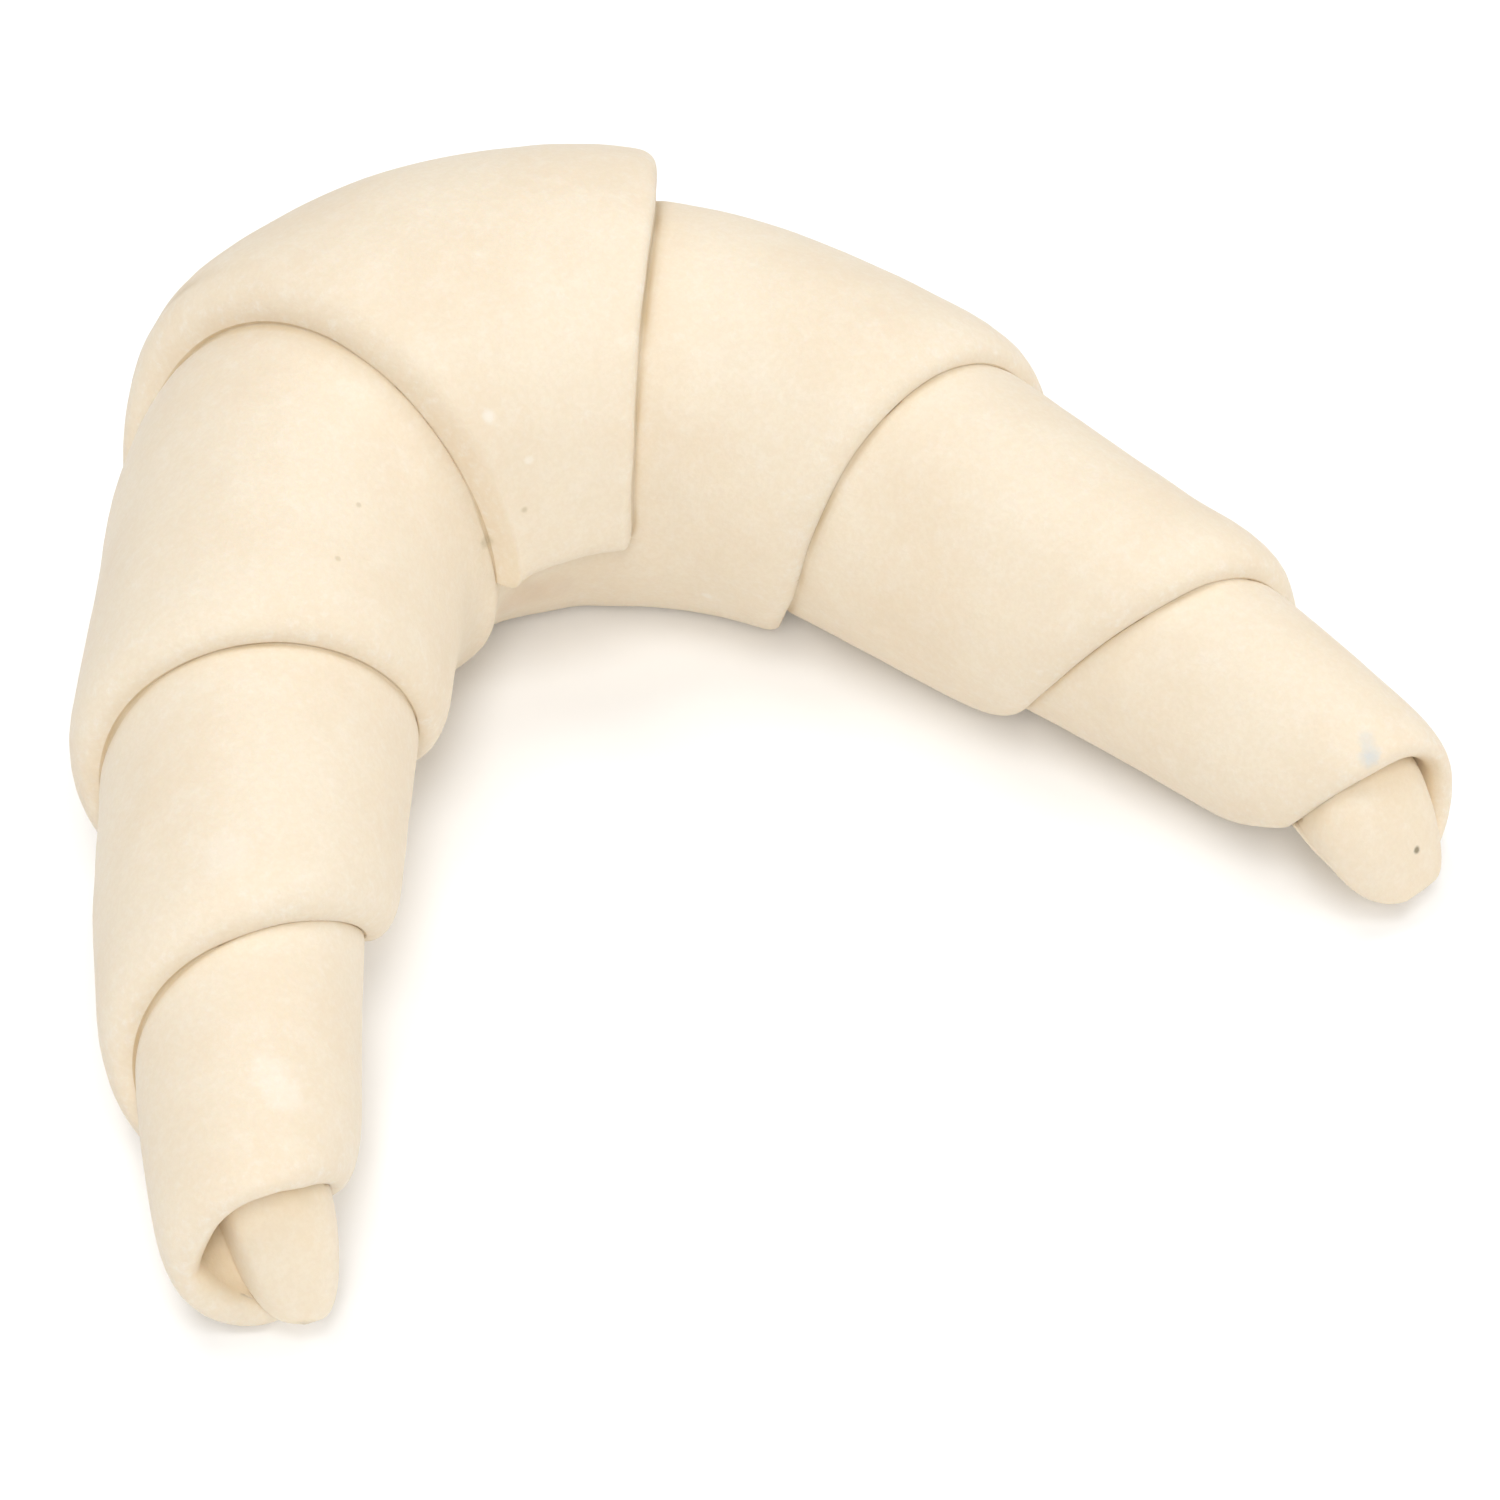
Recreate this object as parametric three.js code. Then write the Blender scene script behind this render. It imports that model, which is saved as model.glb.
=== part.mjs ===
// Unbaked croissant: one piece of laminated dough, a long triangle rolled up from its base and bent
// into a crescent. Millimetres, +Z up, resting on z = 0, horns pointing to -Y.
//
// The roll is described by a spine in plan and by the sheet that is wound round it. A section angle
// runs from the top (0) over the inner side of the crescent (+90) to the bottom (180). Going back
// along the sheet from the flap's end, every whole turn lies one sheet deeper, and the two slanting
// sides of the triangle show as one winding edge on each arm, stepping down toward the horn.
import * as THREE from 'three';

// ---------- sizes ----------
const PLAN_TURN = 3.0;                 // degrees, squares the crescent up with the axes
const FLAP_END = 97;                   // section angle where the outer flap ends
const HEADING_STEP = 11.28;            // spacing of the spine's heading values along the arc
const HEADING = [70.3, 68.5, 64.6, 60.4, 59.7, 58.5, 56.9, 18.1, -8.4,
  -29.7, -51.4, -69.4, -68.6, -65.5, -73.2, -73.0, -76.7];   // degrees, left horn to right horn

const AXIS_HIGH = 14.7;                // height of the roll's axis in the middle
const AXIS_LOW = 6.7;                  // and at the horns
const AXIS_POWER = 1.58;
const WIDTH_FACTOR = 0.948;            // sections are a little taller than wide
const BASE_SOFT = 0.75;                // rounding where the dough meets the table
const SAG = 0.06;                      // share of the radius by which the soft underside settles
const BARREL = 18.8;                   // length over which a wrap swells inward from its edge

// arms: outer radius at each whole turn (flap's end first), distance of the winding edge from the
// middle at each quarter turn, swelling per millimetre, back swelling of the flap, tip of the horn,
// thickening of each wrap's rim on the outer side, opening of the seams on the outer side
const LEFT = {
  side: -1,
  radius: [18.39, 14.69, 11.64, 8.28, 5.14],
  edge: [13.0, 13.37, 16.25, 25.04, 37.12, 41.44, 44.2, 45.72, 56.17,
    64.0, 68.42, 72.92, 78.2, 83.33, 84.5, 84.9, 85.0],
  taper: 0.084, swell: 1.42, length: 83.1, tip: 86.5, rim: [0.5, 0.5, 0.1, 0, 0], gape: 1.0,
  // the tongue that looks out of the last sleeve: reach to the front and the back, its tip's place, heights
  tongue: { from: 74.3, front: 5.6, bulge: 0.6, back: -3.2, point: 2.9, top: 13.2, low: 2.73,
    frontRound: 4, backRound: 2, topRound: 3.5, corner: 4, hollowAt: -45, hollowDepth: 4 },
};
const RIGHT = {
  side: 1,
  radius: [18.49, 14.59, 11.22, 7.84, 4.43],
  edge: [15.5, 15.0, 13.3, 23.64, 34.9, 37.96, 40.93, 46.91, 55.32,
    62.97, 65.97, 67.88, 76.94, 81.48, 82.85, 84.2, 84.6],
  taper: 0.127, swell: 0.9, length: 82.8, tip: 85.8, rim: [0, 0.85, 0.6, 0, 0], gape: 0,
  tongue: { from: 73.3, front: 5.6, bulge: 2.0, back: -4.0, point: 1.4, top: 12.2, low: 2.54,
    frontRound: 3.5, backRound: 3, topRound: 4, corner: 2.5, hollowAt: -45, hollowDepth: 3 },
};
const SWELL_AT = -50, SWELL_SPREAD = 50;               // where the flap's back swells, degrees
const FLARE = 1.0, FLARE_AT = -48, FLARE_SPREAD = 45;  // lift of the flap's right rear corner
const RIM_AT = -70, RIM_SPREAD = 50;                   // where the rims are thickest, degrees
// hollows (+) and swells (-) of the skin: depth, place along the arms, reach along, angle, reach round
const HOLLOWS = [
  [1.0, -25.0, 8.0, -62, 42],          // back of the left arm beside the flap
  [-1.7, -15.0, 7.0, 118, 30],         // corner of the bend in front
  [0.4, 7.5, 2.5, 125, 20],            // fold in the sheet under the flap's end
];

const LIP = 4.6, LIP_DROP = 0.95, NOSE = 2.5;          // rounding of a wrap's edge: length, share of the step, fullness
const FLAP_LIP = 3.5;                  // the flap's left edge
const CUT_LIP = 1.3, CUT_DROP = 0.35;  // the flap's right edge is crisper
const CREASE = 0.16, CREASE_LENGTH = 0.25;             // seam at the foot of a step
const UNDERCUT = 0.2;
const MOUTH_UNDERCUT = 0.8, MOUTH_DROP = 1.3, MOUTH_ROUND = 3;   // the last sleeve's mouth
const FLAP_ROUND = 7, FLAP_LEFT = 0.5; // rounded end of the flap: degrees, share of height left
const FLAP_SLANT = -3.5;               // slant of the flap's end, degrees
const FLAP_CORNER = 1.6;               // rounding of the flap's front right corner
const MERGE = 80;                      // degrees over which the sheet's start becomes the last sleeve

// facets
const COLUMNS = 46;
const END_COLUMNS = [1.5, 5, 9];       // extra section angles before the flap's end, degrees
const END_GAP = 1.5;
const N_STRIP = 5, N_LIP = 4, N_WALL = 1, N_HOLLOW = 2, N_TONGUE = 5;
const NEAR = 0.06;                     // least spacing along the horn's closing end

// ---------- small functions ----------
const RAD = Math.PI / 180, TAU = 2 * Math.PI;
const clamp = (v, a, b) => Math.min(b, Math.max(a, v));
const ease = (u) => { const c = clamp(u, 0, 1); return c * c * (3 - 2 * c); };
const bell = (v, at, spread) => Math.exp(-(((v - at) / spread) ** 2));
const around = (angle, at, spread) => bell((((angle - at + 180) % 360) + 360) % 360 - 180, 0, spread);   // degrees

// monotone curve through values at even steps t0, t0 - step, t0 - 2 step, ...
function curve(values, step) {
  const v = values, n = v.length, d = [], m = new Array(n).fill(0);
  for (let i = 0; i < n - 1; i++) d.push(v[i + 1] - v[i]);
  for (let i = 1; i < n - 1; i++) if (d[i - 1] * d[i] > 0) m[i] = 2 / (1 / d[i - 1] + 1 / d[i]);
  m[0] = d[0]; m[n - 1] = d[n - 2];
  return (turn) => {
    const s = -turn / step, i = clamp(Math.floor(s), 0, n - 2), u = s - i;
    if (u < 0) return v[0] + m[0] * u;
    if (u > 1) return v[n - 1] + m[n - 1] * (u - 1);
    const w = 1 - u;
    return (1 + 2 * u) * w * w * v[i] + u * w * w * m[i] + u * u * (3 - 2 * u) * v[i + 1] + u * u * (u - 1) * m[i + 1];
  };
}
for (const arm of [LEFT, RIGHT]) {
  arm.radiusAt = curve(arm.radius, 1);
  arm.edgeAt = curve(arm.edge, 0.25);
  arm.rimAt = curve(arm.rim, 1);
}

// ---------- spine ----------
function heading(x) {                  // smooth blend of the heading values
  const u = x / HEADING_STEP + (HEADING.length - 1) / 2, i = Math.floor(u), f = u - i;
  const c = (k) => HEADING[clamp(i + k, 0, HEADING.length - 1)];
  return ((1 - f) ** 3 * c(-1) + (3 * f ** 3 - 6 * f * f + 4) * c(0)
    + (-3 * f ** 3 + 3 * f * f + 3 * f + 1) * c(1) + f ** 3 * c(2)) / 6 * RAD;
}
const SPINE_HALF = 110, SPINE_STEP = 0.1;
const spine = { x: [0], y: [0] };
{
  const n = Math.round(2 * SPINE_HALF / SPINE_STEP);
  for (let i = 0; i < n; i++) {
    const a = heading(-SPINE_HALF + i * SPINE_STEP), b = heading(-SPINE_HALF + (i + 1) * SPINE_STEP);
    spine.x.push(spine.x[i] + (Math.cos(a) + Math.cos(b)) / 2 * SPINE_STEP);
    spine.y.push(spine.y[i] + (Math.sin(a) + Math.sin(b)) / 2 * SPINE_STEP);
  }
  const mid = n / 2, x0 = spine.x[mid], y0 = spine.y[mid];
  spine.x = spine.x.map((v) => v - x0); spine.y = spine.y.map((v) => v - y0);
}
function onSpine(list, x) {
  const s = (x + SPINE_HALF) / SPINE_STEP, i = clamp(Math.floor(s), 0, list.length - 2);
  return list[i] + (list[i + 1] - list[i]) * (s - i);
}
function axisHeight(x) {
  const q = clamp(Math.abs(x) / (x < 0 ? LEFT.length : RIGHT.length), 0, 1.1);
  return AXIS_LOW + (AXIS_HIGH - AXIS_LOW) * (1 - q ** AXIS_POWER);
}
// point at arc position x, lateral offset (inner side positive) and height over the axis
function place(x, lateral, height) {
  const h = heading(x), l = lateral * WIDTH_FACTOR, w = BASE_SOFT;
  let z = axisHeight(x) + height;
  z = z < -w ? 0 : z > w ? z : (z + w) ** 2 / (4 * w);
  return [onSpine(spine.x, x) + l * Math.sin(h), onSpine(spine.y, x) - l * Math.cos(h), z];
}

// ---------- the wound sheet ----------
// outer radius of the sheet at a turn (0 at the flap's end, -1 one turn deeper) and arc position x
function radius(turn, x) {
  const w = ease(0.5 + x / 22.56), angle = turn * 360 + FLAP_END;
  const sideOf = (arm) => {
    const d = Math.max(arm.edgeAt(turn) - arm.side * x, 0);
    const rim = arm.rimAt(turn + (FLAP_END - RIM_AT) / 360) * around(angle, RIM_AT, RIM_SPREAD);
    return arm.radiusAt(turn) + arm.taper * BARREL * (1 - Math.exp(-d / BARREL))
      + arm.swell * bell(angle, SWELL_AT, SWELL_SPREAD) + rim * (bell(d, 0, 6) - 0.4 * bell(d, 14, 8));
  };
  let r = sideOf(RIGHT) * w + sideOf(LEFT) * (1 - w);
  for (const [depth, at, reach, turned, wide] of HOLLOWS) r -= depth * bell(x, at, reach) * around(angle, turned, wide);
  return r + FLARE * bell(angle, FLARE_AT, FLARE_SPREAD) * ease((x + 1.9) / 15);
}
const END = FLAP_END * RAD, START = END - TAU;
function slanted(x, th) {
  const nearEnd = bell(th, END, 60 * RAD) + bell(th, START, 60 * RAD);
  return th + FLAP_SLANT * RAD * ease((x + 11.3) / 26.3) * ease((41.4 - x) / 22.6) * nearEnd;
}
// skin of the tongue: q = 0 deep in the sleeve, 1 at the horn's tip; four half widths give its section
function tongue(arm, q, th) {
  const t = arm.tongue, c = clamp(q, 0, 1), close = (n) => Math.max(1 - c ** n, 0) ** (1 / n);
  const x = t.from + (arm.tip - t.from) * q, axis = axisHeight(arm.side * x);
  const w = ease((c - 0.55) / 0.45), midL = t.point * w, midH = (t.low - axis) * w;   // the middle moves to the tip
  const front = t.point + (t.front - t.point + t.bulge * 6.75 * c * c * (1 - c)) * close(t.frontRound) - midL;
  const back = midL - t.point - (t.back - t.point) * close(t.backRound);
  const top = t.low + (t.top - t.low) * (1 - c ** t.topRound) - axis - midH;
  const under = midH - t.low + axis;
  const s = Math.sin(th), k = Math.cos(th);
  const a = Math.max(s > 0 ? front : back, 1e-6), b = Math.max(k > 0 ? top : under, 1e-6);
  const p = s < 0 && k > 0 ? t.corner : 2.3;
  let r = (Math.abs(s / a) ** p + Math.abs(k / b) ** p) ** (-1 / p);
  const turn = (th - END) / TAU - 3, e = arm.edgeAt(turn);        // it stays inside the sleeve round it
  const room = radius(turn, arm.side * e) - MOUTH_DROP - 0.15 + 0.7 * Math.max(0, x - e);
  const inner = 0.5 * (r + room - Math.sqrt((r - room) ** 2 + 0.4));
  r += (Math.min(inner, r) - r) * ease((th - START) / (MERGE * RAD));
  return [x, midL + r * s, midH + r * k];
}

// one arm's outline at a section angle, from the middle to the tip:
// rows of arc position, lateral offset, height over the axis, and an ordering value
function outline(arm, th) {
  const rows = [], t = arm.tongue, span = arm.tip - t.from;
  const merge = 1 - ease((th - START) / (MERGE * RAD)), gape = 1 + arm.gape * around(th / RAD, -75, 40);
  const put = (x, r, order, xTongue) => {
    const a = slanted(arm.side * x, th);
    let row = [x, r * Math.sin(a), r * (Math.cos(a) - SAG * Math.max(0, -Math.cos(a)) ** 4)];
    if (xTongue !== undefined && merge > 0) {
      const s = tongue(arm, (xTongue - t.from) / span, th);
      row = row.map((v, i) => v + (s[i] - v) * merge);
    }
    rows.push([...row, order]);
  };
  const round = clamp((th - (END - FLAP_ROUND * RAD)) / (FLAP_ROUND * RAD), 0, 1);
  const endHeight = 1 - (1 - FLAP_LEFT) * (1 - Math.sqrt(Math.max(0, 1 - round * round)));
  let start = 0, freeBefore = 0;
  for (let k = 0; k < 4; k++) {
    const turn = (th - END) / TAU - k;
    let e = arm.edgeAt(turn);
    if (k === 0 && arm === RIGHT) e -= FLAP_CORNER * (1 - Math.sqrt(1 - clamp((th - END) / (7 * RAD) + 1, 0, 1) ** 2));
    const below = (x) => radius(turn - 1, arm.side * x);
    const over = (x) => k ? radius(turn, arm.side * x) : below(x) + (radius(turn, arm.side * x) - below(x)) * endHeight;
    const onTongue = () => { const s = tongue(arm, (e - t.from) / span, th); return Math.hypot(s[1], s[2]); };
    const high = over(e);
    let low = below(e);
    if (k === 2) low += (onTongue() - low) * merge;               // beside the sheet's start lies the tongue
    const free = ease((axisHeight(arm.side * e) + low * Math.cos(th) - 0.4) / 3);   // 0 where it lies on the table
    const step = Math.max(high - low, 0.2);
    let lip = LIP, drop = LIP_DROP * step;
    if (k === 0) {
      const past = ease((th - START) / (60 * RAD));
      lip += ((arm === RIGHT ? CUT_LIP : FLAP_LIP) - LIP) * past;
      if (arm === RIGHT) drop = (LIP_DROP + (CUT_DROP - LIP_DROP) * past) * step;
    }
    if (k === 2) lip += MOUTH_ROUND * (1 - ease((th - START) / (40 * RAD)));
    if (k === 3) {                     // on the inner side the mouth's lip comes down on to the tongue
      const inner = ease((th / RAD - 35) / 40), full = Math.max(high - onTongue() - 0.25, MOUTH_DROP);
      drop = MOUTH_DROP + (full - MOUTH_DROP) * inner;
      lip += MOUTH_ROUND * inner;
    }
    lip = Math.min(lip, 0.45 * (e - start));
    const tail = (x) => (k === 3 ? x : undefined);
    // the wrap's face
    for (let i = k === 0 && arm === LEFT ? 1 : 0; i < N_STRIP; i++) {
      let g = i / (N_STRIP - 1);
      if (k) g = 0.5 * g + 0.5 * (0.5 - 0.5 * Math.cos(Math.PI * g));
      const x = start + (e - lip - start) * g;
      const crease = k ? freeBefore * Math.exp(-(x - start) / CREASE_LENGTH)
        : Math.exp(-(th - START) / (2 * RAD)) * ease((arm.edgeAt(0) - x + 1) / 3);
      put(x, over(x) - CREASE * gape * crease, x, tail(x));
    }
    // its rounded lip
    for (let i = 1; i <= N_LIP; i++) {
      const a = Math.PI / 2 * i / N_LIP, u = Math.sin(a) ** (2 / NOSE), h = Math.max(Math.cos(a), 0) ** (2 / NOSE);
      const x = e - lip + lip * u;
      put(x, over(x) - drop * (1 - h), x, tail(x));
    }
    if (k < 3) {                       // down to the wrap below
      for (let i = 1; i <= N_WALL; i++) {
        const v = i / N_WALL;
        put(e + (1 - free) * 0.3 * v - UNDERCUT * free * v * v,
          high - drop + (low - CREASE * gape * free - high + drop) * v, e + 0.002 * i);
      }
      start = e + 0.12 + 0.3 * (1 - free); freeBefore = free;
      continue;
    }
    // the last sleeve's mouth: closed on the tongue where that fills it, hollow elsewhere
    const gap = high - drop - onTongue();
    const open = ease((gap - 0.8) / 1.6) * ease((th - START) / (60 * RAD));
    const depth = t.hollowDepth * open * ease((Math.cos(th - t.hollowAt * RAD) + 0.2) / 1.1);
    const inside = high - drop - 1.0;
    let n = 0;
    for (let i = 1; i <= N_WALL; i++) {
      const v = i / N_WALL; n++;
      put(e - MOUTH_UNDERCUT * v * v, high - drop + (inside - high + drop) * v, e + 0.002 * n, e + NEAR * n);
      const row = rows[rows.length - 1], s = tongue(arm, (row[0] - t.from) / span, th), g = v * (1 - open) * (1 - merge);
      row[1] += (s[1] - row[1]) * g; row[2] += (s[2] - row[2]) * g;
    }
    const from = rows[rows.length - 1].slice(0, 3);
    const deep = (e - depth - 0.1) * (1 - merge) + (e + NEAR * (N_WALL + N_HOLLOW + 1)) * merge;
    const q0 = (deep - t.from) / span, to = tongue(arm, q0, th);
    for (let i = 1; i <= N_HOLLOW; i++) {
      const v = i / (N_HOLLOW + 1); n++;
      const m = (0.5 - 0.5 * Math.cos(Math.PI * v)) * (1 - merge) + v * merge;
      const g = Math.sin(Math.PI / 2 * Math.min(1, v * 1.25)) * (1 - merge) + v * merge;
      rows.push([from[0] + (to[0] - from[0]) * g - 0.25 * depth * Math.sin(Math.PI * v),
        from[1] + (to[1] - from[1]) * m, from[2] + (to[2] - from[2]) * m, e + 0.002 * n]);
    }
    for (let i = 0; i < N_TONGUE; i++) {
      const u = i / N_TONGUE, q = q0 + (1 - q0) * (0.45 * u + 0.55 * Math.sin(Math.PI / 2 * u));
      const s = tongue(arm, q, th);
      rows.push([...s, Math.max(s[0], e + 0.02) + 0.002 * i]);
    }
  }
  return rows;
}

// ---------- the skin ----------
function dough() {
  const angles = [];
  for (let j = 0; j <= COLUMNS; j++) {
    const th = START + END_GAP * RAD + (TAU - END_GAP * RAD) * j / COLUMNS;
    if (j === COLUMNS || th < END - (Math.max(...END_COLUMNS) + 3) * RAD) angles.push(th);
  }
  for (const d of END_COLUMNS) angles.push(END - d * RAD);
  angles.sort((a, b) => a - b);

  const points = [], triangles = [], columns = [], orders = [];
  for (const th of angles) {
    const left = outline(LEFT, th).reverse().map(([x, l, h, o]) => [-x, l, h, -o]);
    const rows = [...left, ...outline(RIGHT, th)];
    columns.push(rows.map(([x, l, h]) => points.push(place(x, l, h)) - 1));
    orders.push(rows.map((r) => r[3]));
  }
  const [leftTip, rightTip] = [LEFT, RIGHT].map((arm) => {
    const [x, l, h] = tongue(arm, 1, 0);
    return points.push(place(arm.side * x, l, h)) - 1;
  });
  const last = (list) => list[list.length - 1];
  for (let j = 0; j < columns.length; j++) {
    const a = columns[j], b = columns[(j + 1) % columns.length];
    triangles.push([leftTip, b[0], a[0]], [rightTip, last(a), last(b)]);
    if (j < columns.length - 1) {
      for (let i = 0; i < a.length - 1; i++) triangles.push([a[i], b[i + 1], a[i + 1]], [a[i], b[i], b[i + 1]]);
      continue;
    }
    // the turn closes one sheet deeper, so the two outlines are joined in the order of their positions
    const oa = orders[j], ob = orders[0];
    for (let i = 0, m = 0; i < a.length - 1 || m < b.length - 1;) {
      if (m === b.length - 1 || (i < a.length - 1 && oa[i + 1] <= ob[m + 1])) { triangles.push([a[i], b[m], a[i + 1]]); i++; }
      else { triangles.push([a[i], b[m], b[m + 1]]); m++; }
    }
  }
  const flat = new Float32Array(points.length * 3);
  const c = Math.cos(PLAN_TURN * RAD), s = Math.sin(PLAN_TURN * RAD);
  const turned = points.map(([x, y, z]) => [c * x - s * y, s * x + c * y, z]);
  const box = new THREE.Box3().setFromPoints(turned.map((p) => new THREE.Vector3(...p)));
  const mid = box.getCenter(new THREE.Vector3());
  turned.forEach(([x, y, z], i) => flat.set([x - mid.x, y - mid.y, z], 3 * i));
  const geometry = new THREE.BufferGeometry();
  geometry.setAttribute('position', new THREE.BufferAttribute(flat, 3));
  geometry.setIndex(triangles.flat());
  geometry.computeVertexNormals();
  return geometry;
}

const croissant = new THREE.Group();
croissant.name = 'unbaked_croissant';
const mesh = new THREE.Mesh(dough(), new THREE.MeshStandardMaterial({ color: 0xf6e4c6, roughness: 0.75, metalness: 0 }));
mesh.name = 'dough';
croissant.add(mesh);

export default croissant;
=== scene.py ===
import bpy
import math
import numpy as np
from mathutils import Matrix, Vector, noise


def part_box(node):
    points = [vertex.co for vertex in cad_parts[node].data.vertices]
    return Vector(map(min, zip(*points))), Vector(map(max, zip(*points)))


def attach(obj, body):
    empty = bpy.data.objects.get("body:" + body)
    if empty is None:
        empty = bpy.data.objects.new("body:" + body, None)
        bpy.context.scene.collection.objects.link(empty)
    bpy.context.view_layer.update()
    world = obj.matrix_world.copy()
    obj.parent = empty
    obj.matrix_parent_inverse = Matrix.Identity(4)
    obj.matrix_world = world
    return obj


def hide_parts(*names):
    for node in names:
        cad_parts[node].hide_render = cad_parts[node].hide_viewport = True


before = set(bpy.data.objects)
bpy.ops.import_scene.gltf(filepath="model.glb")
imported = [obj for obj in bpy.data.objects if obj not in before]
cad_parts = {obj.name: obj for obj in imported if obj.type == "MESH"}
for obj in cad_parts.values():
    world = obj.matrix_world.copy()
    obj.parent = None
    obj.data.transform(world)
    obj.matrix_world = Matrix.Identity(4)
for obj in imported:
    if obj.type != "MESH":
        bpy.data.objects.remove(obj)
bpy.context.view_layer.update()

# ---------------------------------------------------------------- sizes (millimetres, degrees)
PLAN_TURN = 3.0
FLAP_END = 97.0
HEADING_STEP = 11.28
HEADING = [70.3, 68.5, 64.6, 60.4, 59.7, 58.5, 56.9, 18.1, -8.4,
           -29.7, -51.4, -69.4, -68.6, -65.5, -73.2, -73.0, -76.7]
AXIS_HIGH, AXIS_LOW, AXIS_POWER = 14.7, 6.7, 1.58
WIDTH_FACTOR = 0.948
BASE_SOFT = 0.75
SAG = 0.06
BARREL = 18.8


class Arm:
    def __init__(self, **k):
        self.__dict__.update(k)


LEFT = Arm(
    side=-1, radius=[18.39, 14.69, 11.64, 8.28, 5.14], rim=[0.5, 0.5, 0.1, 0, 0], gape=1.0,
    edge=[13.0, 13.37, 16.25, 25.04, 37.12, 41.44, 44.2, 45.72, 56.17,
          64.0, 68.42, 72.92, 78.2, 83.33, 84.5, 84.9, 85.0],
    taper=0.084, swell=1.42, length=83.1, tip=86.5,
    t_from=74.3, front=5.6, bulge=0.6, back=-3.2, point=2.9, top=13.2, low=2.73,
    front_round=4, back_round=2.0, top_round=3.5, corner=4.0, hollow_at=-45, hollow_depth=4.0, wall=0.7)
RIGHT = Arm(
    side=1, radius=[18.49, 14.59, 11.22, 7.84, 4.43], rim=[0, 0.85, 0.6, 0, 0], gape=0.0,
    edge=[15.5, 15.0, 13.3, 23.64, 34.9, 37.96, 40.93, 46.91, 55.32,
          62.97, 65.97, 67.88, 76.94, 81.48, 82.85, 84.2, 84.6],
    taper=0.127, swell=0.9, length=82.8, tip=85.8,
    t_from=73.3, front=5.6, bulge=2.0, back=-4.0, point=1.4, top=12.2, low=2.54,
    front_round=3.5, back_round=3, top_round=4, corner=2.5, hollow_at=-45, hollow_depth=3.0, wall=0.0)
SWELL_AT, SWELL_SPREAD = -50, 50
FLARE, FLARE_AT, FLARE_SPREAD = 1.0, -48, 45
RIM_AT, RIM_SPREAD = -70, 50
# hollows (+) and swells (-) of the skin: depth, place along the arms, reach along, angle, reach round
HOLLOWS = [(1.0, -25.0, 8.0, -62, 42), (-1.7, -15.0, 7.0, 118, 30), (0.4, 7.5, 2.5, 125, 20)]

LIP, LIP_DROP, NOSE = 4.6, 0.95, 2.5
FLAP_LIP = 3.5
CUT_LIP, CUT_DROP = 1.3, 0.35
CREASE, CREASE_LENGTH = 0.1, 0.25
UNDERCUT = 0.1
MOUTH_UNDERCUT, MOUTH_DROP, MOUTH_ROUND = 0.8, 1.3, 3.0
FLAP_ROUND, FLAP_LEFT = 7, 0.5
FLAP_SLANT = -3.5
FLAP_CORNER = 1.6
FOLD, FOLD_AT, FOLD_SPREAD = 0.15, -52, 17
UNDULATION, RIPPLE = 0.22, 0.07
MERGE = 80

COLUMNS = 236
END_COLUMNS = [.4, .9, 1.5, 2.2, 3, 4, 5, 6.2, 7.5, 9]
END_GAP = 0.5
N_STRIP, N_LIP, N_WALL, N_HOLLOW, N_TONGUE = 26, 8, 5, 10, 22
NEAR = 0.03

# view of the photograph, in the spine's frame before PLAN_TURN
VIEW_AZ, VIEW_EL, VIEW_DIST = -30.368, 44.770, 423.0
VIEW_AT = (7.558, -30.225)
VIEW_LENS = 135.05

RAD, TAU = math.pi / 180, 2 * math.pi


# ---------------------------------------------------------------- curves
def ease(u):
    u = np.clip(u, 0, 1)
    return u * u * (3 - 2 * u)


def bell(v, at, spread):
    return np.exp(-((v - at) / spread) ** 2)


def around(angle, at, spread):
    return bell((angle - at + 180) % 360 - 180, 0, spread)


def curve(values, step):
    v = np.array(values, float)
    n = len(v)
    d = np.diff(v)
    m = np.zeros(n)
    for i in range(1, n - 1):
        if d[i - 1] * d[i] > 0:
            m[i] = 2 / (1 / d[i - 1] + 1 / d[i])
    m[0], m[-1] = d[0], d[-1]

    def at(turn):
        s = -np.asarray(turn, float) / step
        i = np.clip(np.floor(s).astype(int), 0, n - 2)
        u = s - i
        c = np.clip(u, 0, 1)
        w = 1 - c
        y = (1 + 2 * c) * w * w * v[i] + c * w * w * m[i] + c * c * (3 - 2 * c) * v[i + 1] + c * c * (c - 1) * m[i + 1]
        return y + np.where(u < 0, u * m[i], 0) + np.where(u > 1, (u - 1) * m[i + 1], 0)
    return at


for arm in (LEFT, RIGHT):
    arm.radius_at = curve(arm.radius, 1.0)
    arm.edge_at = curve(arm.edge, 0.25)
    arm.rim_at = curve(arm.rim, 1.0)


def heading(x):
    c = np.array(HEADING) * RAD
    u = np.asarray(x, float) / HEADING_STEP + (len(c) - 1) / 2
    i = np.floor(u).astype(int)
    f = u - i
    k = lambda o: c[np.clip(i + o, 0, len(c) - 1)]
    return ((1 - f) ** 3 * k(-1) + (3 * f ** 3 - 6 * f * f + 4) * k(0)
            + (-3 * f ** 3 + 3 * f * f + 3 * f + 1) * k(1) + f ** 3 * k(2)) / 6


_g = np.linspace(-110, 110, 2201)
_h = heading(_g)
_mid = lambda q: q - q[1100]
SPINE_X = _mid(np.concatenate([[0], np.cumsum((np.cos(_h[1:]) + np.cos(_h[:-1])) / 2 * 0.1)]))
SPINE_Y = _mid(np.concatenate([[0], np.cumsum((np.sin(_h[1:]) + np.sin(_h[:-1])) / 2 * 0.1)]))


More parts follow.
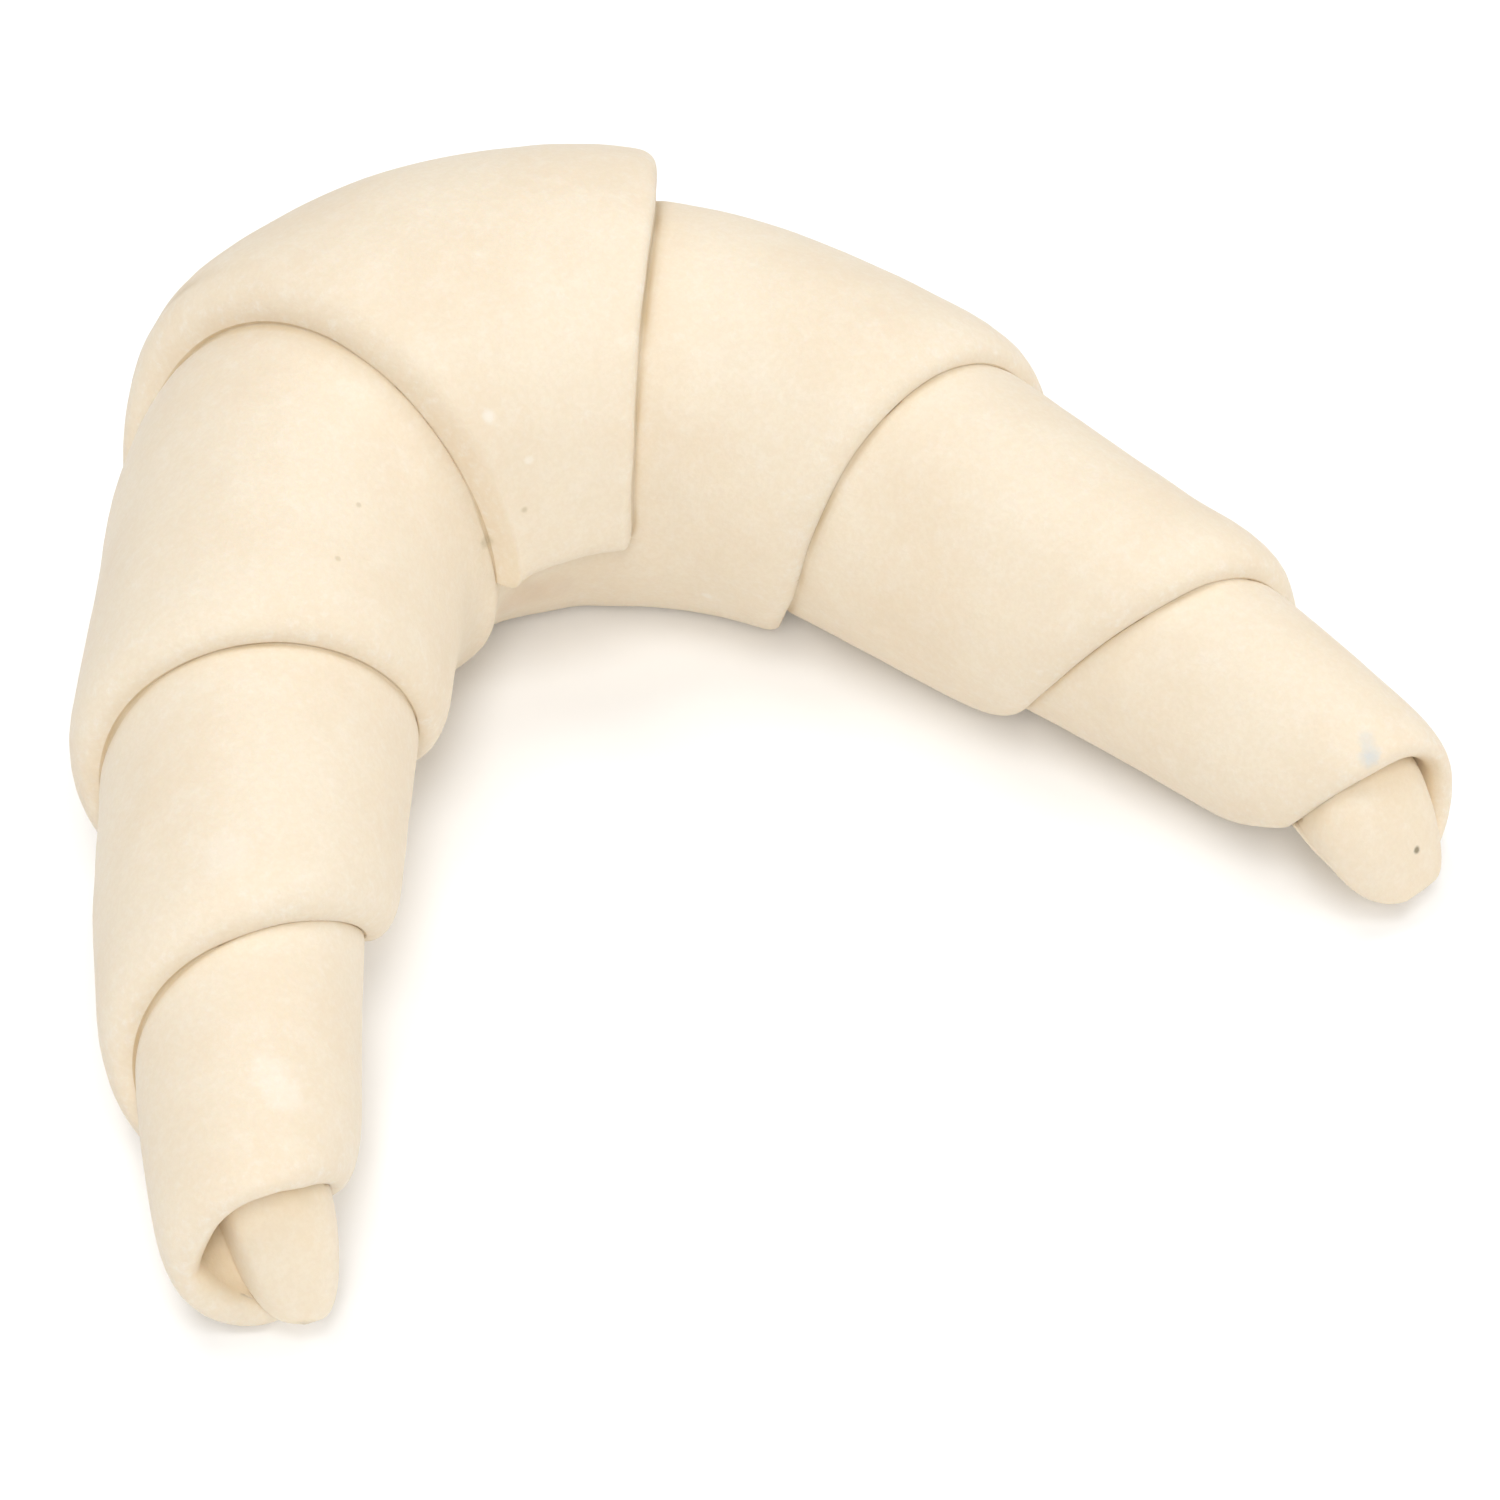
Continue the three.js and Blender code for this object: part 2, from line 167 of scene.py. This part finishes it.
def axis_height(x):
    q = np.clip(np.abs(x) / np.where(np.asarray(x) < 0, LEFT.length, RIGHT.length), 0, 1.1)
    return AXIS_LOW + (AXIS_HIGH - AXIS_LOW) * (1 - q ** AXIS_POWER)


def place(x, lateral, height):
    h, l, w = heading(x), lateral * WIDTH_FACTOR, BASE_SOFT
    z = axis_height(x) + height
    z = np.where(z < -w, 0, np.where(z > w, z, (z + w) ** 2 / (4 * w)))
    return np.stack([np.interp(x, _g, SPINE_X) + l * np.sin(h), np.interp(x, _g, SPINE_Y) - l * np.cos(h), z], -1)


# ---------------------------------------------------------------- the wound sheet
END = FLAP_END * RAD
START = END - TAU


def radius(turn, x):
    w = ease(0.5 + x / 22.56)
    out = lambda d: BARREL * (1 - np.exp(-np.maximum(d, 0) / BARREL))
    angle = turn * 360 + FLAP_END

    def side_of(arm):
        d = np.maximum(arm.edge_at(turn) - arm.side * x, 0)
        rim = arm.rim_at(turn + (FLAP_END - RIM_AT) / 360) * around(angle, RIM_AT, RIM_SPREAD)
        return (arm.radius_at(turn) + arm.taper * out(d) + arm.swell * bell(angle, SWELL_AT, SWELL_SPREAD)
                + rim * (bell(d, 0, 6) - 0.4 * bell(d, 14, 8)))
    r = side_of(RIGHT) * w + side_of(LEFT) * (1 - w)
    for depth, at, reach, turned, wide in HOLLOWS:
        r = r - depth * bell(x, at, reach) * around(angle, turned, wide)
    return r + FLARE * bell(angle, FLARE_AT, FLARE_SPREAD) * ease((x + 1.9) / 15)


def slanted(x, th):
    near_end = bell(th, END, 60 * RAD) + bell(th, START, 60 * RAD)
    return th + FLAP_SLANT * RAD * ease((x + 11.3) / 26.3) * ease((41.4 - x) / 22.6) * near_end


def tongue(arm, q, th):
    """skin of the tongue that looks out of the last sleeve: q = 0 deep inside, 1 at the horn's tip"""
    c = np.clip(q, 0, 1)
    close = lambda n: np.maximum(1 - c ** n, 0) ** (1 / n)
    x = arm.t_from + (arm.tip - arm.t_from) * q
    axis = axis_height(arm.side * x)
    w = ease((c - 0.55) / 0.45)                               # the section's middle moves to the tip
    mid_l, mid_h = arm.point * w, (arm.low - axis) * w
    front = arm.point + (arm.front - arm.point + arm.bulge * 6.75 * c * c * (1 - c)) * close(arm.front_round) - mid_l
    back = mid_l - arm.point - (arm.back - arm.point) * close(arm.back_round)
    top = arm.low + (arm.top - arm.low) * (1 - c ** arm.top_round) - axis - mid_h
    under = mid_h - arm.low + axis
    s, k = np.sin(th), np.cos(th)
    a = np.maximum(np.where(s > 0, front, back), 1e-6)
    b = np.maximum(np.where(k > 0, top, under), 1e-6)
    p = np.where((s < 0) & (k > 0), arm.corner, 2.3)
    r = (np.abs(s / a) ** p + np.abs(k / b) ** p) ** (-1 / p)
    turn = (th - END) / TAU - 3                               # it stays inside the sleeve round it
    e = arm.edge_at(turn)
    room = radius(turn, arm.side * e) - MOUTH_DROP - 0.15 + 0.7 * np.maximum(0, x - e)
    inner = 0.5 * (r + room - np.sqrt((r - room) ** 2 + 0.4))
    r = r + (np.minimum(inner, r) - r) * ease((th - START) / (MERGE * RAD))
    return x, mid_l + r * s, mid_h + r * k


def outline(arm, th):
    """rows (row, column, value): arc position, lateral, height, order, painted seam shade, rim, painted shade in the
    horn's mouth
    """
    rows = []
    span = arm.tip - arm.t_from
    merge = 1 - ease((th - START) / (MERGE * RAD))

    def add(*values):
        rows.append(np.stack(np.broadcast_arrays(*[np.asarray(v, float) + 0 * th for v in values])))

    def put(x, r, order, crease_shade=0.0, rim=0.0, hollow_shade=0.0, on_tongue=None):
        a = slanted(arm.side * x, th)
        l, h = r * np.sin(a), r * (np.cos(a) - SAG * np.maximum(0, -np.cos(a)) ** 4)
        if on_tongue is not None:
            s = tongue(arm, (on_tongue - arm.t_from) / span, th)
            x, l, h = x + (s[0] - x) * merge, l + (s[1] - l) * merge, h + (s[2] - h) * merge
        add(x, l, h, order, crease_shade, rim, hollow_shade)

    rnd = np.clip((th - (END - FLAP_ROUND * RAD)) / (FLAP_ROUND * RAD), 0, 1)
    end_height = 1 - (1 - FLAP_LEFT) * (1 - np.sqrt(np.maximum(0, 1 - rnd * rnd)))
    start, free_before = 0.0 * th, 0.0 * th
    gape = 1 + arm.gape * around(th / RAD, -75, 40)
    for k in range(4):
        turn = (th - END) / TAU - k
        e = arm.edge_at(turn)
        if k == 0 and arm is RIGHT:                           # the flap's rounded corner
            e = e - FLAP_CORNER * (1 - np.sqrt(1 - np.clip((th - END) / (7 * RAD) + 1, 0, 1) ** 2))
        below = lambda x: radius(turn - 1, arm.side * x)
        if k:
            over = lambda x: radius(turn, arm.side * x)
        else:
            over = lambda x: below(x) + (radius(turn, arm.side * x) - below(x)) * end_height
        high, low = over(e), below(e)
        if k == 2:                                            # next to the flap of the last turn lies the tongue
            on = tongue(arm, (e - arm.t_from) / span, th)
            low = low + (np.hypot(on[1], on[2]) - low) * merge
        free = ease((axis_height(arm.side * e) + low * np.cos(th) - 0.4) / 3)
        step = np.maximum(high - low, 0.2)
        lip, drop = LIP + 0 * th, LIP_DROP * step
        if k == 0:
            past = ease((th - START) / (60 * RAD))
            lip = LIP + ((CUT_LIP if arm is RIGHT else FLAP_LIP) - LIP) * past
            if arm is RIGHT:
                drop = (LIP_DROP + (CUT_DROP - LIP_DROP) * past) * step
        if k == 2:
            lip = LIP + MOUTH_ROUND * (1 - ease((th - START) / (40 * RAD)))
        if k == 3:
            on = tongue(arm, (e - arm.t_from) / span, th)
            full = np.maximum(high - np.hypot(on[1], on[2]) - 0.25, MOUTH_DROP)
            inner = ease((th / RAD - 35) / 40)
            drop = MOUTH_DROP + (full - MOUTH_DROP) * inner + arm.wall * around(th / RAD, -55, 38)
            lip = LIP + MOUTH_ROUND * inner
        lip = np.minimum(lip, 0.45 * (e - start))
        for i in range(1 if k == 0 and arm is LEFT else 0, N_STRIP):
            g = i / (N_STRIP - 1)
            if k:
                g = 0.5 * g + 0.5 * (0.5 - 0.5 * math.cos(math.pi * g))
            x = start + (e - lip - start) * g
            if k:
                c = free_before * np.exp(-(x - start) / CREASE_LENGTH)
                # painted shade: look darkens the skin just past the foot of the lip above, in the seam
                look = free_before * np.exp(-(x - start) / (0.3 * gape))
            else:
                # painted shade along the flap's end, on the layer beneath it; the same value also cuts the groove
                c = np.exp(-(th - START) / (2 * RAD)) * ease((arm.edge_at(0) - x + 1) / 3)
                look = c
            put(x, over(x) - CREASE * gape * c, x, look, 0, 0, x if k == 3 else None)
        for i in range(1, N_LIP + 1):
            t = math.pi / 2 * i / N_LIP
            u, h = math.sin(t) ** (2 / NOSE), max(math.cos(t), 0) ** (2 / NOSE)
            x = e - lip + lip * u
            # a small fold on the under-layer: a shallow dent, with painted shade in its crease
            fold = around(th / RAD, FOLD_AT, FOLD_SPREAD) if k == 0 and arm is LEFT and i == 2 else 0.0
            put(x, over(x) - drop * (1 - h) - FOLD * fold, x, 0.6 * fold, u * u, 0, x if k == 3 else None)
        if k < 3:
            for i in range(1, N_WALL + 1):
                v = i / N_WALL
                # painted shade on the wall below each lip, where the seam stands clear of the floor
                put(e + (1 - free) * 0.3 * v - UNDERCUT * free * v * v,
                    high - drop + (low - CREASE * gape * free - high + drop) * v, e + 0.002 * i, free, 1 - v, 0)
            if k == 0 and arm is LEFT:                        # pressed together near the flap's end
                free = free * (1 - 0.75 * bell(th / RAD, 70, 7))
            start, free_before = e + 0.12 + 0.3 * (1 - free), free
            continue
        # inside the mouth the crease and hollow values are painted shade: they darken the mouth's wall, its hollow and
        # the root of the tongue
        gap = high - drop - np.hypot(on[1], on[2])
        opened = ease((gap - 0.8) / 1.6) * ease((th - START) / (60 * RAD))
        depth = arm.hollow_depth * opened * ease((np.cos(th - arm.hollow_at * RAD) + 0.2) / 1.1)
        inside = high - drop - 1.0
        n = 0
        for i in range(1, N_WALL + 1):
            v = i / N_WALL
            n += 1
            put(e - MOUTH_UNDERCUT * v * v, high - drop + (inside - high + drop) * v, e + 0.002 * n,
                v * v * (1 - opened) * (1 - merge), (1 - v) * (1 - merge), opened * v, e + NEAR * n)
            r = rows[-1]
            s = tongue(arm, (r[0] - arm.t_from) / span, th)
            g = v * (1 - opened) * (1 - merge)
            r[1] += (s[1] - r[1]) * g
            r[2] += (s[2] - r[2]) * g
        x0, l0, h0 = rows[-1][:3]
        deep = (e - depth - 0.1) * (1 - merge) + (e + NEAR * (N_WALL + N_HOLLOW + 1)) * merge
        q0 = (deep - arm.t_from) / span
        x1, l1, h1 = tongue(arm, q0, th)
        for i in range(1, N_HOLLOW + 1):
            v = i / (N_HOLLOW + 1)
            n += 1
            m = (0.5 - 0.5 * math.cos(math.pi * v)) * (1 - merge) + v * merge
            g = math.sin(math.pi / 2 * min(1, v * 1.25)) * (1 - merge) + v * merge
            add(x0 + (x1 - x0) * g - 0.25 * depth * math.sin(math.pi * v), l0 + (l1 - l0) * m, h0 + (h1 - h0) * m,
                e + 0.002 * n, (1 - opened) * (1 - merge), 0, opened)
        for i in range(N_TONGUE):
            u = i / N_TONGUE
            q = q0 + (1 - q0) * (0.45 * u + 0.55 * math.sin(math.pi / 2 * u))
            x, l, h = tongue(arm, q, th)
            add(x, l, h, np.maximum(x, e + 0.02) + 0.002 * i,
                np.exp(-(x - x1) / 1.2) * (1 - opened) * (1 - merge), 0, opened * np.exp(-(x - x1) / 3.0))
    return np.stack(rows)


def dough_mesh():
    base = np.linspace(START + END_GAP * RAD, END, COLUMNS + 1)
    near = END - (max(END_COLUMNS) + 3) * RAD
    th = np.sort(np.concatenate([base[base < near], [END], [END - d * RAD for d in END_COLUMNS]]))
    left, right = outline(LEFT, th)[::-1].copy(), outline(RIGHT, th)
    left[:, 0] *= -1
    left[:, 3] *= -1
    grid = np.concatenate([left, right])                       # row, value, column
    n_rows, n_cols = grid.shape[0], grid.shape[2]
    pts = place(grid[:, 0], grid[:, 1], grid[:, 2])            # row, column, xyz
    index = np.arange(n_rows * n_cols).reshape(n_rows, n_cols)
    verts = [pts.reshape(-1, 3)]
    marks = np.stack([grid[:, 4], grid[:, 5], grid[:, 6], grid[:, 0]], -1).reshape(-1, 4)
    tips = []
    for arm in (LEFT, RIGHT):
        x, l, h = tongue(arm, np.array([1.0]), np.array([0.0]))
        tips.append(len(index.ravel()) + len(tips))
        verts.append(place(arm.side * x, l, h))
    verts = np.concatenate(verts)
    marks = np.concatenate([marks, np.zeros((2, 4))])
    faces = []
    for j in range(n_cols):
        a, b = index[:, j], index[:, (j + 1) % n_cols]
        faces.append((tips[0], b[0], a[0]))
        faces.append((tips[1], a[-1], b[-1]))
        if j < n_cols - 1:
            faces += list(zip(a[:-1], b[:-1], b[1:], a[1:]))
            continue
        oa, ob = grid[:, 3, j], grid[:, 3, 0]
        i = m = 0
        while i < n_rows - 1 or m < n_rows - 1:
            if m == n_rows - 1 or (i < n_rows - 1 and oa[i + 1] <= ob[m + 1]):
                faces.append((a[i], b[m], a[i + 1]))
                i += 1
            else:
                faces.append((a[i], b[m], b[m + 1]))
                m += 1
    return verts, [tuple(int(i) for i in f) for f in faces], marks


def skin(arc, angle):
    """point of the outermost skin at an arc position and section angle (degrees)"""
    arm, th, x = (LEFT if arc < 0 else RIGHT), np.array([angle * RAD]), abs(arc)
    for k in range(4):
        turn = (th - END) / TAU - k
        if x <= arm.edge_at(turn)[0]:
            a, r = slanted(arc, th), radius(turn, arc)
            return place(np.array([arc]), r * np.sin(a), r * np.cos(a))[0]
    x, l, h = tongue(arm, np.array([(x - arm.t_from) / (arm.tip - arm.t_from)]), th)
    return place(arm.side * x, l, h)[0]


verts, faces, marks = dough_mesh()
c, s = math.cos(PLAN_TURN * RAD), math.sin(PLAN_TURN * RAD)
TURN = np.array([[c, -s, 0], [s, c, 0], [0, 0, 1]])
verts = verts @ TURN.T
lo, hi = (np.array(v) * 1000 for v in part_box("dough"))
shift = np.array([*((lo + hi) / 2 - (verts.min(0) + verts.max(0)) / 2)[:2], 0.0])
verts = verts + shift

mesh = bpy.data.meshes.new("raw_dough")
mesh.from_pydata((verts / 1000).tolist(), [], faces)
mesh.validate()
mesh.shade_smooth()
uneven = []                                                    # hand-rolled skin, calmer at the horns
for v, arc in zip(mesh.vertices, marks[:, 3]):
    p = v.co * 1000
    h = UNDULATION * noise.noise(p * 0.085) + RIPPLE * noise.noise(p * 0.3 + Vector((7, 3, 5)))
    h *= min(1, max(0, p.z - 0.3) / 3) * min(1, max(0, 80 - abs(arc)) / 12)
    uneven += list(v.co + v.normal * (h / 1000))
mesh.vertices.foreach_set("co", uneven)
mesh.update()
# attributes: painted shade in the seams, flour on the rims, painted shade inside the horns' mouths, and the arc
# position
for i, name in enumerate(("crease_shade", "rim", "hollow_shade", "arc")):
    mesh.attributes.new(name, "FLOAT", "POINT").data.foreach_set("value", marks[:, i].astype(np.float32))
dough = bpy.data.objects.new("raw_dough", mesh)
bpy.context.scene.collection.objects.link(dough)

# ---------------------------------------------------------------- material
GREY, PORE, SPECK, FLOUR = (0.62, 0.635, 0.62), (0.24, 0.20, 0.12), (0.50, 0.41, 0.26), (0.91, 0.875, 0.80)
# painted shade: pinkish brown of the under-layer in the shade beneath the flap's end
FLAP_UNDER_SHADE = (0.70, 0.53, 0.38)
# small marks on the skin: arc position, section angle, radius, strength, colour; the two marks at arcs -2.5 and 2.5
# are painted shade on the under-layer below the flap's end
MARKS = [(79.7, 15.5, 1.0, 0.4, GREY), (80.5, 19.5, 1.1, 0.6, GREY), (80.9, 23.5, 1.3, 0.65, GREY),
         (-2.5, -244.0, 3.0, 0.3, FLAP_UNDER_SHADE), (2.5, -243.0, 3.0, 0.3, FLAP_UNDER_SHADE),
         (84.6, -0.5, 0.42, 0.9, PORE), (-28.57, 33.0, 0.32, 0.45, SPECK), (-34.27, 28.5, 0.34, 0.4, SPECK),
         (-5.36, 75.7, 0.36, 0.5, SPECK), (-14.1, 83.3, 0.7, 0.45, SPECK),
         (-6.56, 51.3, 0.75, 0.55, FLOUR), (-1.92, 65.0, 0.5, 0.4, FLOUR), (24.77, -242.7, 0.6, 0.4, FLOUR),
         (-59.46, -0.5, 2.6, 0.22, FLOUR), (-75.0, 16.3, 2.0, 0.25, FLOUR), (-76.5, 24.0, 2.0, 0.25, FLOUR)]


class Nodes:
    """small helper that adds shader nodes and links their sockets"""

    def __init__(self, material):
        material.use_nodes = True
        self.tree = material.node_tree
        self.bsdf = self.tree.nodes["Principled BSDF"]

    def add(self, kind, inputs=(), **settings):
        n = self.tree.nodes.new(kind)
        for k, v in settings.items():
            setattr(n, k, v)
        for k, v in dict(inputs).items():
            if hasattr(v, "is_output"):
                self.tree.links.new(v, n.inputs[k])
            else:
                n.inputs[k].default_value = v
        return n

    def math(self, op, a, b=0.0, c=0.0, clamp=False):
        return self.add("ShaderNodeMath", {0: a, 1: b, 2: c}, operation=op, use_clamp=clamp).outputs[0]

    def noise(self, where, scale, detail=2.0, rough=0.5, distort=0.0):
        return self.add("ShaderNodeTexNoise", {"Vector": where, "Scale": scale, "Detail": detail, "Roughness": rough,
                                               "Distortion": distort}).outputs["Fac"]

    def step(self, v, low, high, smooth=True):
        return self.add("ShaderNodeMapRange", {"Value": v, "From Min": low, "From Max": high},
                        interpolation_type="SMOOTHSTEP" if smooth else "LINEAR", clamp=True).outputs["Result"]

    def mix(self, fac, a, b):
        n = self.add("ShaderNodeMix", {0: fac, 6: a, 7: b}, data_type="RGBA")
        return n.outputs[2]

    def attr(self, name):
        return self.add("ShaderNodeAttribute", attribute_name=name).outputs["Fac"]


def rgba(r, g, b):
    return (r, g, b, 1.0)


mat = bpy.data.materials.new("raw_dough")
N = Nodes(mat)
coord = N.add("ShaderNodeTexCoord").outputs["Object"]
mm = N.add("ShaderNodeVectorMath", {0: coord, 3: 1000.0}, operation="SCALE").outputs[0]
crease_shade, rim, hollow_shade = N.attr("crease_shade"), N.attr("rim"), N.attr("hollow_shade")

cloud = N.noise(mm, 0.085, 3.0)                 # broad unevenness of the dough
blotch = N.noise(mm, 0.45, 4.0, 0.6)            # patches of a few millimetres
grain = N.noise(mm, 2.4, 3.0, 0.65)             # skin of fine flour grains
dust = N.noise(mm, 1.1, 5.0, 0.7)

colour = N.mix(N.step(cloud, 0.35, 0.65), rgba(0.840, 0.735, 0.577), rgba(0.820, 0.700, 0.535))
colour = N.mix(N.math("MULTIPLY", N.step(blotch, 0.45, 0.75), 0.5), colour, rgba(0.855, 0.770, 0.635))
# flour: faint everywhere, more on the rims
floury = N.math("MULTIPLY", N.step(dust, 0.48, 0.72), N.math("MULTIPLY_ADD", rim, 0.35, 0.22))
colour = N.mix(floury, colour, rgba(0.875, 0.820, 0.730))
colour = N.mix(N.math("MULTIPLY", N.step(grain, 0.62, 0.40), 0.16), colour, rgba(0.730, 0.590, 0.410))
# painted shade: the seams and the insides of the horns' mouths are darkened to a yellow-brown where shade falls
# noise that makes the painted seam shade patchy along the seams
seam_shade_unevenness = N.math("MULTIPLY_ADD", N.noise(mm, 0.16, 2.0), 1.3, -0.15, clamp=True)
colour = N.mix(N.math("MULTIPLY", crease_shade, seam_shade_unevenness, clamp=True), colour, rgba(0.56, 0.41, 0.22))
# painted shade inside the horns' mouths
colour = N.mix(N.math("MULTIPLY", hollow_shade, 0.5, clamp=True), colour, rgba(0.74, 0.56, 0.32))
for arc, angle, size, strength, tint in MARKS:
    where = TURN @ skin(arc, angle) + shift
    far = N.add("ShaderNodeVectorMath", {0: mm, 1: Vector(where)}, operation="DISTANCE").outputs["Value"]
    far = N.math("ADD", far, N.math("MULTIPLY", N.math("SUBTRACT", dust, 0.5), -0.7 * size))
    colour = N.mix(N.math("MULTIPLY", N.step(far, size, 0.3 * size), strength), colour, rgba(*tint))
N.tree.links.new(colour, N.bsdf.inputs["Base Color"])
N.tree.links.new(N.math("MULTIPLY_ADD", blotch, 0.22, 0.58), N.bsdf.inputs["Roughness"])
height = N.math("ADD", N.math("MULTIPLY", grain, 0.45), N.math("MULTIPLY", N.noise(mm, 0.9, 2.0), 0.55))
bump = N.add("ShaderNodeBump", {"Height": height, "Strength": 0.35, "Distance": 0.00025})
N.tree.links.new(bump.outputs[0], N.bsdf.inputs["Normal"])
N.bsdf.inputs["Specular IOR Level"].default_value = 0.28
N.bsdf.inputs["Sheen Weight"].default_value = 0.12
N.bsdf.inputs["Sheen Roughness"].default_value = 0.5
N.bsdf.inputs["Subsurface Weight"].default_value = 0.12
N.bsdf.inputs["Subsurface Radius"].default_value = (1.0, 0.6, 0.3)
N.bsdf.inputs["Subsurface Scale"].default_value = 0.0015
mesh.materials.append(mat)

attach(dough, "root")
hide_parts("dough")

# ---------------------------------------------------------------- floor, light, camera
scene = bpy.context.scene
bpy.ops.mesh.primitive_plane_add(size=6.0, location=(0, 0, 0))
floor = bpy.context.object
floor.name = "floor"
fm = bpy.data.materials.new("floor")
fm.use_nodes = True
fm.node_tree.nodes["Principled BSDF"].inputs["Base Color"].default_value = (0.93, 0.93, 0.93, 1)
fm.node_tree.nodes["Principled BSDF"].inputs["Emission Color"].default_value = (1, 1, 1, 1)
fm.node_tree.nodes["Principled BSDF"].inputs["Emission Strength"].default_value = 0.05
fm.node_tree.nodes["Principled BSDF"].inputs["Roughness"].default_value = 0.8
fm.node_tree.nodes["Principled BSDF"].inputs["Specular IOR Level"].default_value = 0.2
floor.data.materials.append(fm)

az, el = (VIEW_AZ + PLAN_TURN) * RAD, VIEW_EL * RAD
ahead = Vector((-math.cos(el) * math.sin(az), math.cos(el) * math.cos(az), -math.sin(el)))
across = Vector((math.cos(az), math.sin(az), 0))
up = across.cross(ahead)
target = Vector((TURN @ np.array([*VIEW_AT, 0.0]) + shift) / 1000)
eye = target - ahead * VIEW_DIST / 1000
cam_data = bpy.data.cameras.new("view")
cam_data.sensor_width = 36
cam_data.lens = VIEW_LENS
cam_data.clip_start, cam_data.clip_end = 0.02, 50
cam = bpy.data.objects.new("view", cam_data)
cam.matrix_world = Matrix(((across.x, up.x, -ahead.x, eye.x), (across.y, up.y, -ahead.y, eye.y),
                           (across.z, up.z, -ahead.z, eye.z), (0, 0, 0, 1)))
scene.collection.objects.link(cam)
scene.camera = cam

world = bpy.data.worlds.new("studio")
scene.world = world
world.use_nodes = True
world.node_tree.nodes["Background"].inputs["Color"].default_value = (1, 1, 1, 1)
world.node_tree.nodes["Background"].inputs["Strength"].default_value = 0.26


def soft_light(name, azimuth, elevation, strength):
    """a broad, distant light; azimuth 0 comes from behind the object, 90 from its right, 180 from the camera's side"""
    data = bpy.data.lights.new(name, "SUN")
    data.energy = math.pi * strength
    data.angle = 25 * RAD
    a, e = azimuth * RAD, elevation * RAD
    d = (flat * math.cos(a) + across * math.sin(a)) * math.cos(e) + Vector((0, 0, math.sin(e)))
    o = bpy.data.objects.new(name, data)
    o.rotation_euler = d.to_track_quat("Z", "Y").to_euler()
    scene.collection.objects.link(o)


flat = Vector((ahead.x, ahead.y, 0)).normalized()
soft_light("front", 180, 45, 0.32)
soft_light("high_front", 180, 70, 0.285)
soft_light("high_back", 315, 70, 0.21)
soft_light("back_right", 45, 45, 0.15)
soft_light("right", 90, 20, 0.18)
soft_light("left", 270, 45, 0.08)
scene.view_settings.view_transform = "Standard"
scene.view_settings.look = "None"
